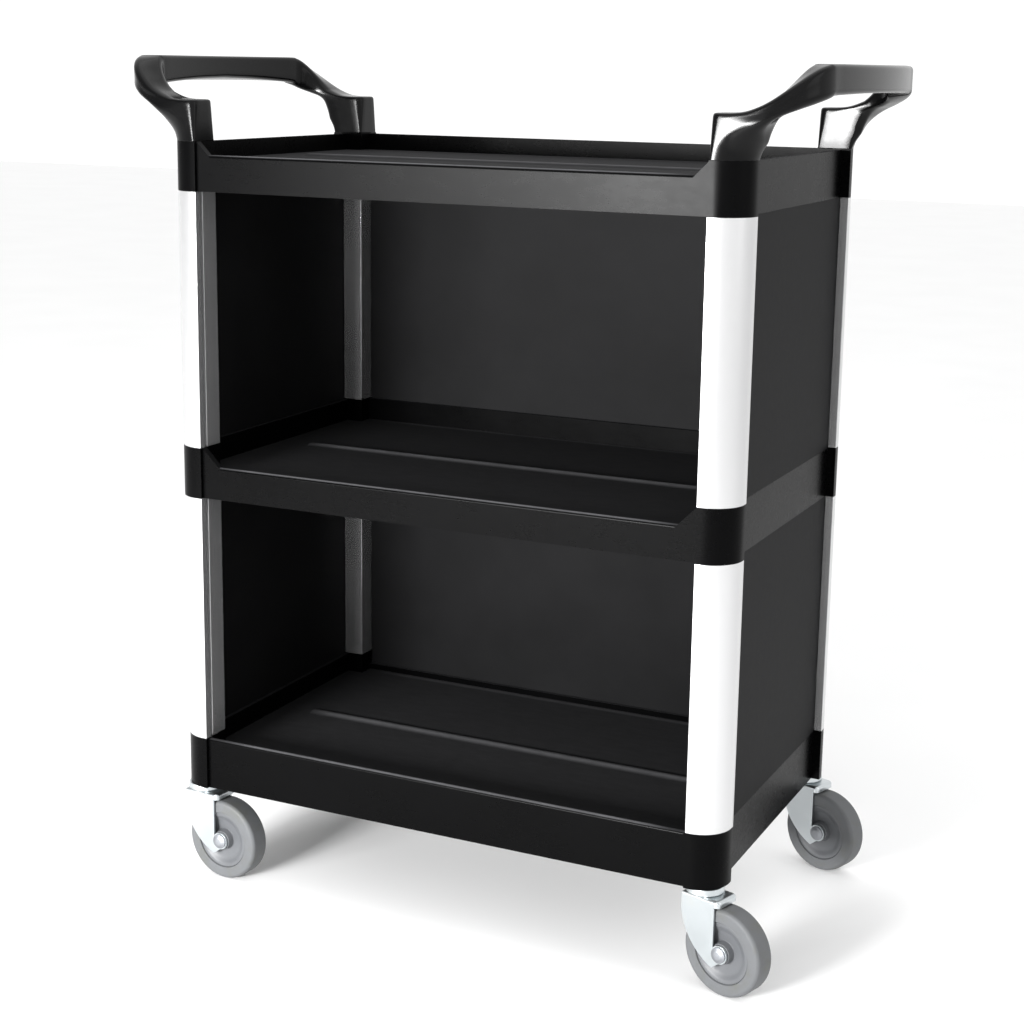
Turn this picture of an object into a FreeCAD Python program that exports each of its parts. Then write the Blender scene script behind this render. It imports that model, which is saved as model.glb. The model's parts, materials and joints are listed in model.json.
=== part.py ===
"""Food service trolley: three moulded shelves on aluminium corner posts, with
infill panels, two end handles and four swivel casters.

Millimetres. X runs along the trolley, the open side faces -Y, Z is up and the
floor is z = 0. Every size is a cell of the spreadsheet "Sizes".
"""
import FreeCAD
import Part
import math
import os

from FreeCAD import Placement, Rotation, Vector

doc = FreeCAD.newDocument("Trolley")
sheet = doc.addObject("Spreadsheet::Sheet", "Sizes")

SIZES = [
    # overall frame
    ("half_length", 335, "half the length over the shelf corners"),
    ("half_width", 200, "half the width over the shelf corners"),
    ("corner_side", 39, "side of the quarter-round corner outline"),
    ("corner_round", 34, "radius of its outer corner"),
    # levels of the shelves' corner blocks
    ("bottom_level", 112, "underside of the bottom shelf"),
    ("bottom_height", 61, "height of its corner blocks"),
    ("post_length", 287, "free length of a lower or upper post"),
    ("middle_height", 58, "height of the middle shelf's blocks"),
    ("top_height", 54, "height of the top shelf's blocks"),
    # shelves
    ("front_inset", 4, "front apron behind the block faces"),
    ("end_inset", 10, "end walls behind the block faces"),
    ("wall", 8, "thickness of the raised walls"),
    ("skin", 4, "thickness of the deck and ribs"),
    ("rib_drop", 5, "depth of the ribs under the deck"),
    ("bottom_deck", 36, "deck of the bottom shelf above its underside"),
    ("bottom_front", 60, "front lip of the bottom shelf"),
    ("bottom_back", 43, "back wall of the bottom shelf"),
    ("middle_deck", 30, "deck of the middle shelf"),
    ("middle_front", 37, "front lip of the middle shelf"),
    ("middle_back", 57, "back wall of the middle shelf"),
    ("top_deck", 33, "deck of the top shelf"),
    ("top_front", 40, "front lip of the top shelf"),
    ("top_back", 53, "back wall of the top shelf"),
    ("ridge_half", 13, "half the width of the deck's centre ridge"),
    ("ridge_rise", 2.5, "rise of the centre ridge"),
    ("ridge_end", 62, "distance of the ridge's end from the block faces"),
    ("lip_round", 3.5, "rounding of the front lip"),
    ("plug_length", 18, "length of the plugs"),
    # posts and panels
    ("post_wall", 2.4, "wall of the post extrusion"),
    ("panel_thick", 3, "thickness of a panel"),
    ("panel_enter", 6, "how far a panel enters the posts"),
    ("slack", 0.3, "clearance of parts that slide together"),
    # handles
    ("leg_height", 44, "top of the handle leg above the top shelf"),
    ("reach", 77, "overhang of the grip's middle beyond the posts"),
    ("grip_bow", 9, "how much less the grip's ends overhang"),
    ("grip_rise", 92, "top of the grip above the top shelf"),
    ("grip_tall", 28, "height of the grip"),
    ("grip_deep", 26, "depth of the grip"),
    ("grip_round", 58, "plan radius of the handle's outer corners"),
    ("hand_round", 26, "plan radius of the hand gap's corners"),
    ("screw_round", 2.5, "radius of the handle screws"),
    ("screw_head", 5, "radius of their countersunk heads"),
    ("screw_length", 12, "length of the handle screws"),
    # casters
    ("caster_inset", 22.3, "swivel axis behind the block faces"),
    ("trail", 32, "axle behind the swivel axis"),
    ("wheel_round", 47.5, "radius of the wheel"),
    ("tyre_half", 13, "half the width of the tyre"),
    ("rim_round", 33, "radius where the tyre meets the hub"),
    ("hub_half", 13.4, "half the width of the hub's boss"),
    ("hub_dish", 8, "half the thickness at the rim of the hub's web"),
    ("boss_round", 11, "radius of the hub's boss"),
    ("fork_gap", 14.2, "half the inside width of the fork"),
    ("fork_plate", 2.6, "thickness of the fork"),
    ("fork_lead", 18, "fork ahead of the swivel axis"),
    ("crown_beyond", 6, "crown beyond the trailing edge of the fork's legs"),
    ("crown_level", 97, "underside of the fork's crown"),
    ("crown_top", 104.5, "top of the fork's crown"),
    ("cup_level", 104.8, "underside of the bearing cup"),
    ("cup_round", 20.5, "radius of the bearing cup"),
    ("race_outer", 15, "outer radius of the ball race"),
    ("race_inner", 9, "inner radius of the ball race"),
    ("race_depth", 3.5, "depth of the ball race"),
    ("pin_round", 5.6, "radius of the kingpin"),
    ("pin_head", 9, "radius of the kingpin's rivet head"),
    ("stem_round", 5.5, "radius of the stem inside the block"),
    ("stem_length", 38, "length of the stem inside the block"),
    ("axle_round", 4, "radius of the axle bolt"),
    ("axle_head", 8.5, "radius of its domed head"),
    ("sleeve_round", 6, "outer radius of the axle sleeve"),
    ("running", 0.1, "radial clearance of parts that turn"),
    ("nut_round", 7.5, "circumscribed radius of the axle nut"),
    ("nut_thick", 6, "thickness of the axle nut"),
    ("axle_boss", 10, "radius of the fork's rounded end"),
    ("park_front_right", 343, "parked direction of each caster, degrees"),
    ("park_front_left", 355, ""),
    ("park_back_right", 342, ""),
    ("park_back_left", 350, ""),
]

for row, (alias, value, note) in enumerate(SIZES, start=1):
    sheet.set("A%d" % row, alias)
    sheet.set("B%d" % row, str(value))
    sheet.setAlias("B%d" % row, alias)
    sheet.set("C%d" % row, note)
doc.recompute()


class Size:
    """A number together with the spreadsheet expression that gives it."""

    def __init__(self, value, text):
        self.value = float(value)
        self.text = text

    def __add__(self, other):
        other = size(other)
        return Size(self.value + other.value, "(%s + %s)" % (self.text, other.text))

    def __sub__(self, other):
        other = size(other)
        return Size(self.value - other.value, "(%s - %s)" % (self.text, other.text))

    def __mul__(self, other):
        other = size(other)
        return Size(self.value * other.value, "%s * %s" % (self.text, other.text))

    def __truediv__(self, other):
        other = size(other)
        return Size(self.value / other.value, "%s / (%s)" % (self.text, other.text))

    def __neg__(self):
        return Size(-self.value, "(-1 * %s)" % self.text)

    __radd__ = __add__
    __rmul__ = __mul__

    def __rsub__(self, other):
        return size(other) - self


def size(number):
    return number if isinstance(number, Size) else Size(number, "(%r)" % number)


class Sheet:
    """S.alias is the Size of that spreadsheet cell."""

    def __getattr__(self, alias):
        return Size(sheet.get(alias), "Sizes." + alias)


S = Sheet()
NODES = []


def bind(obj, name, amount):
    amount = size(amount)
    obj.setExpression(name, amount.text)


def place(obj, x=0, y=0, z=0, turn=None):
    """Put an object at a bound position, turned about Z by a bound angle."""
    x, y, z = size(x), size(y), size(z)
    angle = turn.value if turn is not None else 0
    obj.Placement = Placement(Vector(x.value, y.value, z.value),
                              Rotation(Vector(0, 0, 1), angle))
    for axis, amount in zip("xyz", (x, y, z)):
        obj.setExpression("Placement.Base." + axis, amount.text)
    if turn is not None:
        obj.setExpression("Placement.Rotation.Angle", turn.text)
    return obj


def node(obj, label):
    obj.Label = label
    NODES.append(obj)
    return obj


def new_body(label):
    body = doc.addObject("PartDesign::Body", label)
    return node(body, label)


class V:
    """A corner of an outline. round: radius that rounds a right angle. curve:
    (radius, side) bends the edge to the next corner, side +1 for a centre on
    the left of the way along and -1 for one on the right."""

    def __init__(self, x, y, round=None, curve=None):
        self.x, self.y = size(x), size(y)
        self.round, self.curve = round, curve


def rounded(corners):
    """The outline's points, with each rounded corner as two points."""
    points = []
    count = len(corners)
    for i, c in enumerate(corners):
        if c.round is None:
            points.append((c.x, c.y, c.curve))
            continue
        before, after = corners[i - 1], corners[(i + 1) % count]
        for other, curve in ((before, True), (after, False)):
            dx, dy = other.x.value - c.x.value, other.y.value - c.y.value
            x, y = c.x, c.y
            if abs(dx) > abs(dy):
                x = x + c.round * int(math.copysign(1, dx))
            else:
                y = y + c.round * int(math.copysign(1, dy))
            bend = None
            if curve:
                ox, oy = after.x.value - c.x.value, after.y.value - c.y.value
                left = (-dx) * oy - (-dy) * ox > 0
                bend = (c.round, 1 if left else -1)
            points.append((x, y, bend))
    return points


def outline(sketch, corners):
    """Add one closed outline whose every point is bound to the sizes."""
    points = rounded(corners)
    first = len(sketch.Geometry)
    count = len(points)
    ends = []
    for i, (x, y, curve) in enumerate(points):
        nx, ny, _ = points[(i + 1) % count]
        a = Vector(x.value, y.value, 0)
        b = Vector(nx.value, ny.value, 0)
        if curve is None:
            sketch.addGeometry(Part.LineSegment(a, b), False)
            ends.append((1, 2))
            continue
        radius, side = curve
        chord = b - a
        drop = math.sqrt(max(radius.value ** 2 - (chord.Length / 2) ** 2, 0))
        left = Vector(-chord.y, chord.x, 0).normalize()
        centre = (a + b) * 0.5 + left * drop * side
        start, stop = (a, b) if side > 0 else (b, a)
        low = math.atan2(start.y - centre.y, start.x - centre.x)
        high = math.atan2(stop.y - centre.y, stop.x - centre.x)
        if high < low:
            high += 2 * math.pi
        circle = Part.Circle(centre, Vector(0, 0, 1), radius.value)
        sketch.addGeometry(Part.ArcOfCircle(circle, low, high), False)
        ends.append((1, 2) if side > 0 else (2, 1))
    import Sketcher
    for i, (x, y, curve) in enumerate(points):
        here, after = first + i, first + (i + 1) % count
        sketch.addConstraint(Sketcher.Constraint(
            "Coincident", here, ends[i][1], after, ends[(i + 1) % count][0]))
        for kind, amount, axis in (("DistanceX", x, -2), ("DistanceY", y, -1)):
            if abs(amount.value) < 1e-9:
                sketch.addConstraint(Sketcher.Constraint(
                    "PointOnObject", here, ends[i][0], axis))
                continue
            number = sketch.addConstraint(Sketcher.Constraint(
                kind, -1, 1, here, ends[i][0], amount.value))
            sketch.setExpression("Constraints[%d]" % number, amount.text)
        if curve is not None:
            number = sketch.addConstraint(Sketcher.Constraint(
                "Radius", here, curve[0].value))
            sketch.setExpression("Constraints[%d]" % number, curve[0].text)


def circle_in(sketch, x, y, radius):
    """Add a circle with a bound centre and radius."""
    import Sketcher
    x, y = size(x), size(y)
    here = len(sketch.Geometry)
    sketch.addGeometry(Part.Circle(Vector(x.value, y.value, 0), Vector(0, 0, 1),
                                   radius.value), False)
    for kind, amount, axis in (("DistanceX", x, -2), ("DistanceY", y, -1)):
        if abs(amount.value) < 1e-9:
            sketch.addConstraint(Sketcher.Constraint("PointOnObject", here, 3, axis))
            continue
        number = sketch.addConstraint(Sketcher.Constraint(
            kind, -1, 1, here, 3, amount.value))
        sketch.setExpression("Constraints[%d]" % number, amount.text)
    number = sketch.addConstraint(Sketcher.Constraint("Radius", here, radius.value))
    sketch.setExpression("Constraints[%d]" % number, radius.text)


def plane_of(body, role):
    for feature in body.Origin.OriginFeatures:
        if feature.Role == role:
            return feature
    raise ValueError("no plane " + role)


def new_sketch(body, name, plane="XY_Plane", lift=None):
    """A sketch on one of the body's own planes, lifted along its normal."""
    sketch = body.newObject("Sketcher::SketchObject", body.Name + "_" + name)
    sketch.AttachmentSupport = [(plane_of(body, plane), "")]
    sketch.MapMode = "FlatFace"
    if lift is not None:
        lift = size(lift)
        sketch.AttachmentOffset = Placement(Vector(0, 0, lift.value), Rotation())
        sketch.setExpression("AttachmentOffset.Base.z", lift.text)
    return sketch


def solid_step(body, kind, name, sketch, length, back=False, both=False):
    """A pad or pocket of a sketch."""
    step = body.newObject("PartDesign::" + kind, body.Name + "_" + name)
    step.Profile = sketch
    if both:
        step.SideType = "Symmetric"
    if back:
        step.Reversed = True
    step.Length = size(length).value
    bind(step, "Length", length)
    sketch.Visibility = False
    doc.recompute()
    return step


def pad(body, name, sketch, length, back=False, both=False):
    return solid_step(body, "Pad", name, sketch, length, back, both)


def pocket(body, name, sketch, length, back=False, both=False):
    before = body.Shape.Volume
    step = solid_step(body, "Pocket", name, sketch, length, back, both)
    if not body.Shape.Volume < before - 1e-3:
        raise RuntimeError("%s cut nothing" % step.Name)
    return step


def spin(body, name, sketch, axis="V_Axis"):
    """A full turn of a profile about one of its sketch's axes."""
    step = body.newObject("PartDesign::Revolution", body.Name + "_" + name)
    step.Profile = sketch
    step.ReferenceAxis = (sketch, [axis])
    step.Angle = 360
    sketch.Visibility = False
    doc.recompute()
    return step


def soften(body, name, radius, wanted):
    """Round the edges that the test picks by their bounding box."""
    shape = body.Shape
    names = ["Edge%d" % (i + 1) for i, edge in enumerate(shape.Edges)
             if wanted(edge, edge.BoundBox)]
    if not names:
        raise RuntimeError("%s: no edge to round" % name)
    step = body.newObject("PartDesign::Fillet", body.Name + "_" + name)
    step.Base = (body.Tip if body.Tip != step else step.BaseFeature, names)
    step.Radius = radius.value
    bind(step, "Radius", radius)
    doc.recompute()
    return step


def rectangle(x0, y0, x1, y1, round=None):
    return [V(x0, y0, round), V(x1, y0, round), V(x1, y1, round), V(x0, y1, round)]


# Levels worked out from the sizes.
middle_level = S.bottom_level + S.bottom_height + S.post_length
top_level = middle_level + S.middle_height + S.post_length
rail_level = top_level + S.top_height
block_x = S.half_length - S.corner_side
block_y = S.half_width - S.corner_side
# The square hollow of a post ends one wall short of the panel slots.
hollow_near = S.post_wall
slot_near = S.corner_side - S.end_inset - S.panel_thick - S.slack
hollow_far = slot_near - S.post_wall
CORNERS = [("front_right", 1, -1), ("back_right", 1, 1),
           ("back_left", -1, 1), ("front_left", -1, -1)]


def shelf_outline():
    """Aprons and walls set back between four quarter-round corner blocks."""
    a, b, s, r = S.half_length, S.half_width, S.corner_side, S.corner_round
    e, f = a - S.end_inset, S.front_inset
    front, back = -(b - f), b - S.end_inset
    points = []
    for sx, sy, near in ((1, -1, front), (1, 1, back), (-1, 1, back), (-1, -1, front)):
        corner = [V(block_x * sx, near), V(block_x * sx, b * sy),
                  V(a * sx, b * sy, r), V(a * sx, block_y * sy), V(e * sx, block_y * sy)]
        points += corner if sx * sy < 0 else corner[::-1]
    return points


def notched(x, front, back, keep):
    """A rectangle that leaves out the corner blocks and a margin round them."""
    bx, by = block_x - keep, block_y - keep
    return [V(bx, front), V(bx, -by), V(x, -by), V(x, by), V(bx, by), V(bx, back),
            V(-bx, back), V(-bx, by), V(-x, by), V(-x, -by), V(-bx, -by), V(-bx, front)]


def shelf(label, level, height, deck, front, back, up, down):
    """One moulded shelf. up and down say which posts its plugs enter."""
    body = new_body(label)
    place(body, z=level)
    sketch = new_sketch(body, "plan")
    outline(sketch, shelf_outline())
    pad(body, "block", sketch, height)

    inner_front = -(S.half_width - S.front_inset - S.wall)
    inner_back = S.half_width - S.end_inset - S.wall
    inner_x = S.half_length - S.end_inset - S.wall
    sketch = new_sketch(body, "tray_plan", lift=height)
    outline(sketch, notched(inner_x, inner_front, inner_back, 0))
    pocket(body, "tray", sketch, height - deck)

    # the lower front lip, with sloping ends up to the corner blocks
    drop = height - front
    sketch = new_sketch(body, "lip_side", "XZ_Plane", lift=S.half_width + 1)
    outline(sketch, [V(-(block_x - drop), front), V(block_x - drop, front),
                     V(block_x, height), V(block_x, height + 5),
                     V(-block_x, height + 5), V(-block_x, height)])
    pocket(body, "lip", sketch, S.front_inset + S.wall + 2)

    # the back wall, lowered to its own height
    sketch = new_sketch(body, "back_side", "XZ_Plane", lift=-(inner_back - 1))
    outline(sketch, rectangle(-block_x, back, block_x, height + 5))
    pocket(body, "back", sketch, S.wall + S.end_inset + 2)

    # the end walls stop a little below the blocks
    sketch = new_sketch(body, "ends_side", "YZ_Plane")
    outline(sketch, rectangle(-block_y, height - 1.5, block_y, height + 5))
    pocket(body, "ends", sketch, S.half_length * 3, both=True)

    # centre ridge along the deck
    ridge = new_sketch(body, "ridge_side", "YZ_Plane")
    radius = (S.ridge_half * S.ridge_half + (S.ridge_rise + 1) * (S.ridge_rise + 1)) / (
        (S.ridge_rise + 1) * 2)
    outline(ridge, [V(S.ridge_half, deck - 1, curve=(radius, 1)),
                    V(-S.ridge_half, deck - 1)])
    pad(body, "ridge", ridge, (S.half_length - S.ridge_end) * 2, both=True)

    # underside: hollow up to shallow ribs, and eight cells between the ribs
    keep = S.corner_side + S.skin
    x1, y1 = S.half_length - S.end_inset - S.skin, S.half_width - S.end_inset - S.skin
    sketch = new_sketch(body, "hollow_plan")
    outline(sketch, notched(x1, -y1, y1, S.skin))
    pocket(body, "hollow", sketch, deck - S.skin - S.rib_drop, back=True)
    sketch = new_sketch(body, "cells")
    rib = S.skin / 2
    inner = S.half_length - keep
    for sy in (1, -1):
        for sx in (1, -1):
            outline(sketch, [V(rib * sx, rib * sy), V(inner / 2 * sx, rib * sy),
                             V(inner / 2 * sx, y1 * sy), V(rib * sx, y1 * sy)])
            bx, by = inner, S.half_width - keep
            ax = inner / 2 + S.skin
            outline(sketch, [V(ax * sx, rib * sy), V(x1 * sx, rib * sy), V(x1 * sx, by * sy),
                             V(bx * sx, by * sy), V(bx * sx, y1 * sy), V(ax * sx, y1 * sy)])
    pocket(body, "cells_cut", sketch, deck - S.skin, back=True)

    low, high = hollow_near + S.slack, hollow_far - S.slack
    for wanted, name, lift in ((up, "plugs_up", height), (down, "plugs_down", 0)):
        if not wanted:
            continue
        sketch = new_sketch(body, name + "_plan", lift=lift)
        for _, sx, sy in CORNERS:
            outline(sketch, rectangle((block_x + low) * sx, (block_y + low) * sy,
                                      (block_x + high) * sx, (block_y + high) * sy))
        pad(body, name, sketch, S.plug_length, back=(name == "plugs_down"))
    return body


def stem_holes(body):
    """Sockets for the caster stems, and relief for the kingpin cups."""
    sketch = new_sketch(body, "stems")
    for _, sx, sy in CORNERS:
        circle_in(sketch, (S.half_length - S.caster_inset) * sx,
                  (S.half_width - S.caster_inset) * sy, S.stem_round + S.running)
    pocket(body, "stem_sockets", sketch, S.stem_length + 1, back=True)


def screw_holes(body, height):
    """Pilot holes for the handle screws in the plugs that enter the handles."""
    sketch = new_sketch(body, "pilots", "XZ_Plane")
    for sx in (1, -1):
        circle_in(sketch, (block_x + S.corner_side / 2 - 4) * sx,
                  height + S.plug_length / 2, S.screw_round + 0.02)
    pocket(body, "pilot_holes", sketch, (block_y + S.screw_length + 2) * 2, both=True)


bottom = shelf("shelf_bottom", S.bottom_level, S.bottom_height, S.bottom_deck,
               S.bottom_front, S.bottom_back, True, False)
stem_holes(bottom)
middle = shelf("shelf_middle", middle_level, S.middle_height, S.middle_deck,
               S.middle_front, S.middle_back, True, True)
top = shelf("shelf_top", top_level, S.top_height, S.top_deck,
            S.top_front, S.top_back, True, True)
screw_holes(top, S.top_height)
for body, front, back in ((bottom, S.bottom_front, S.bottom_back),
                          (middle, S.middle_front, S.middle_back),
                          (top, S.top_front, S.top_back)):
    height = body.Placement.Base.z
    soften(body, "lip_edges", S.lip_round, lambda edge, box, h=height + front.value:
           box.YMax < -S.half_width.value + 13 and box.XLength > 300
           and abs(box.ZMin - h) < 0.01 and abs(box.ZMax - h) < 0.01)


def post(label, sx, sy, level):
    body = new_body(label)
    place(body, block_x * sx, block_y * sy, level)
    s = S.corner_side
    sketch = new_sketch(body, "section")
    outline(sketch, [V(0, 0), V(s * sx, 0), V(s * sx, s * sy, S.corner_round), V(0, s * sy)])
    pad(body, "bar", sketch, S.post_length)
    # a square hollow for the plugs, panel slots, and two lightening cells
    slot_far = s - S.end_inset + S.slack
    deep = S.panel_enter + S.slack
    cell_near, cell_far = deep + S.post_wall, hollow_far - 1
    cell_out = s - S.post_wall - 5
    sketch = new_sketch(body, "hollow_section")
    outline(sketch, rectangle(hollow_near * sx, hollow_near * sy,
                              hollow_far * sx, hollow_far * sy))
    outline(sketch, rectangle(slot_near * sx, cell_near * sy, cell_out * sx, cell_far * sy))
    outline(sketch, rectangle(cell_near * sx, slot_near * sy, cell_far * sx, cell_out * sy))
    outline(sketch, rectangle(slot_near * sx, size(-1) * sy, slot_far * sx, deep * sy))
    outline(sketch, rectangle(size(-1) * sx, slot_near * sy, deep * sx, slot_far * sy))
    pocket(body, "hollow", sketch, S.post_length, back=True)
    return body


for row, level in (("lower", S.bottom_level + S.bottom_height),
                   ("upper", middle_level + S.middle_height)):
    for corner, sx, sy in CORNERS:
        post("post_%s_%s" % (row, corner), sx, sy, level)


def panel(label, plane, far, between, foot, seat, ceiling):
    """A sheet that rests on a wall at foot, between the corner blocks, and
    above their tops at seat reaches into the posts' slots."""
    body = new_body(label)
    place(body, 0, 0, foot)
    sketch = new_sketch(body, "sheet_side", plane, lift=far)
    wide, slim = between + S.panel_enter, between - S.slack
    step, top = seat - foot, ceiling - foot
    outline(sketch, [V(-slim, 0), V(slim, 0), V(slim, step), V(wide, step),
                     V(wide, top), V(-wide, top), V(-wide, step), V(-slim, step)])
    pad(body, "sheet", sketch, S.panel_thick)
    return body


for row, seat, end_foot, back_foot, ceiling in (
        ("lower", S.bottom_level + S.bottom_height, S.bottom_level + S.bottom_height - 1.5,
         S.bottom_level + S.bottom_back, middle_level),
        ("upper", middle_level + S.middle_height, middle_level + S.middle_height - 1.5,
         middle_level + S.middle_back, top_level)):
    face = S.half_length - S.end_inset
    panel("panel_%s_left" % row, "YZ_Plane", -face, block_y, end_foot, seat, ceiling)
    panel("panel_%s_right" % row, "YZ_Plane", face - S.panel_thick, block_y, end_foot,
          seat, ceiling)
    panel("panel_%s_back" % row, "XZ_Plane", -(S.half_width - S.end_inset), block_x,
          back_foot, seat, ceiling)


def handle(label, sx):
    """A moulded loop: two legs on the corner blocks, arms and a grip."""
    body = new_body(label)
    place(body, S.half_length * sx, 0, rail_level)
    s, b = S.corner_side, S.half_width
    tip, top_z, leg = S.reach, S.grip_rise, S.leg_height
    low, rise = top_z - S.grip_tall, top_z - leg
    # side view, x outward from the posts' outer face, z up from the shelf
    side = [(-s, 0), (0, 0), (0, 6), (tip * 0.22, leg * 0.62), (tip * 0.45, leg),
            (tip * 0.70, low - 8), (tip - 6, low), (tip, low), (tip, top_z),
            (tip - 9, top_z), (tip * 0.75, leg + rise * 0.86), (tip * 0.49, leg + rise * 0.56),
            (tip * 0.16, leg + rise * 0.22), (-10, leg), (-s, leg)]
    sketch = new_sketch(body, "side", "XZ_Plane")
    outline(sketch, [V(size(x) * sx, z) for x, z in side])
    pad(body, "blank", sketch, b * 2, both=True)
    # hand gap between the arms, bowed like the grip
    end, bow = tip - S.grip_bow, S.grip_bow
    inner, hr, y = end - S.grip_deep, S.hand_round, b - s
    inside = ((y - hr) * (y - hr) + bow * bow) / (bow * 2)
    sketch = new_sketch(body, "gap_plan", lift=-1)
    outline(sketch, [V((-s - 5) * sx, -y), V((inner - hr) * sx, -y, curve=(hr, sx)),
                     V(inner * sx, -(y - hr), curve=(inside, sx)),
                     V(inner * sx, y - hr, curve=(hr, sx)), V((inner - hr) * sx, y),
                     V((-s - 5) * sx, y)])
    pocket(body, "gap", sketch, top_z + 20, back=True)
    # everything outside the bowed plan of the loop
    r = S.grip_round
    outside = ((b - r) * (b - r) + bow * bow) / (bow * 2)
    sketch = new_sketch(body, "loop_plan", lift=-1)
    outline(sketch, rectangle((-s - 20) * sx, -(b + 20), (tip + 20) * sx, b + 20))
    outline(sketch, [V((-s - 5) * sx, -b), V((end - r) * sx, -b, curve=(r, sx)),
                     V(end * sx, -(b - r), curve=(outside, sx)),
                     V(end * sx, b - r, curve=(r, sx)), V((end - r) * sx, b),
                     V((-s - 5) * sx, b)])
    pocket(body, "loop", sketch, top_z + 20, back=True)
    # legs carry on the posts' outline
    sketch = new_sketch(body, "legs_plan", lift=-1)
    sr = S.corner_round
    for sy in (1, -1):
        side_sign = sx * sy
        outline(sketch, [V(-sr * sx, b * sy, curve=(sr, -side_sign)), V(0, (b - sr) * sy),
                         V(0.01 * sx, (b + 5) * sy), V(-sr * sx, (b + 5) * sy)])
    pocket(body, "legs_round", sketch, 7, back=True)
    # sockets for the shelf's plugs
    sketch = new_sketch(body, "sockets_plan")
    near, far = hollow_near, hollow_far
    for sy in (1, -1):
        outline(sketch, rectangle((-s + near) * sx, (block_y + near) * sy,
                                  (-s + far) * sx, (block_y + far) * sy))
    pocket(body, "sockets", sketch, S.plug_length + 1, back=True)
    # screws through the inner faces of the legs
    sketch = new_sketch(body, "screws_side", "XZ_Plane")
    circle_in(sketch, (-s / 2 - 4) * sx, S.plug_length / 2, S.screw_round + S.running)
    pocket(body, "screw_holes", sketch, (block_y + near + 1) * 2, both=True)
    sketch = new_sketch(body, "heads_side", "XZ_Plane")
    circle_in(sketch, (-s / 2 - 4) * sx, S.plug_length / 2, S.screw_head + S.running)
    pocket(body, "head_seats", sketch, (block_y + 1.2) * 2, both=True)
    return body


left = handle("handle_left", -1)
right = handle("handle_right", 1)


def screws(label, sx):
    """The two screws of one handle, as one node."""
    parts = []
    for sy in (1, -1):
        shank = doc.addObject("Part::Cylinder", "%s_shank" % label)
        head = doc.addObject("Part::Cylinder", "%s_head" % label)
        socket = doc.addObject("Part::Prism", "%s_socket" % label)
        bind(shank, "Radius", S.screw_round)
        bind(shank, "Height", S.screw_length)
        bind(head, "Radius", S.screw_head)
        head.Height = 1.1
        socket.Polygon = 6
        socket.Circumradius = 1.7
        socket.Height = 0.9
        turned = Rotation(Vector(1, 0, 0), -90 if sy > 0 else 90)
        x = (block_x + S.corner_side / 2 - 4) * sx
        for piece, y in ((shank, block_y + 1.2), (head, block_y + 0.1),
                         (socket, block_y)):
            place(piece, x, y * sy, rail_level + S.plug_length / 2)
            piece.Placement = Placement(piece.Placement.Base, turned)
        fused = doc.addObject("Part::Fuse", "%s_screw" % label)
        fused.Base, fused.Tool = shank, head
        cut = doc.addObject("Part::Cut", "%s_cut" % label)
        cut.Base, cut.Tool = fused, socket
        parts.append(cut)
    both = doc.addObject("Part::Compound", label)
    both.Links = parts
    return node(both, label)


screws("screws_handle_left", -1)
screws("screws_handle_right", 1)


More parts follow.
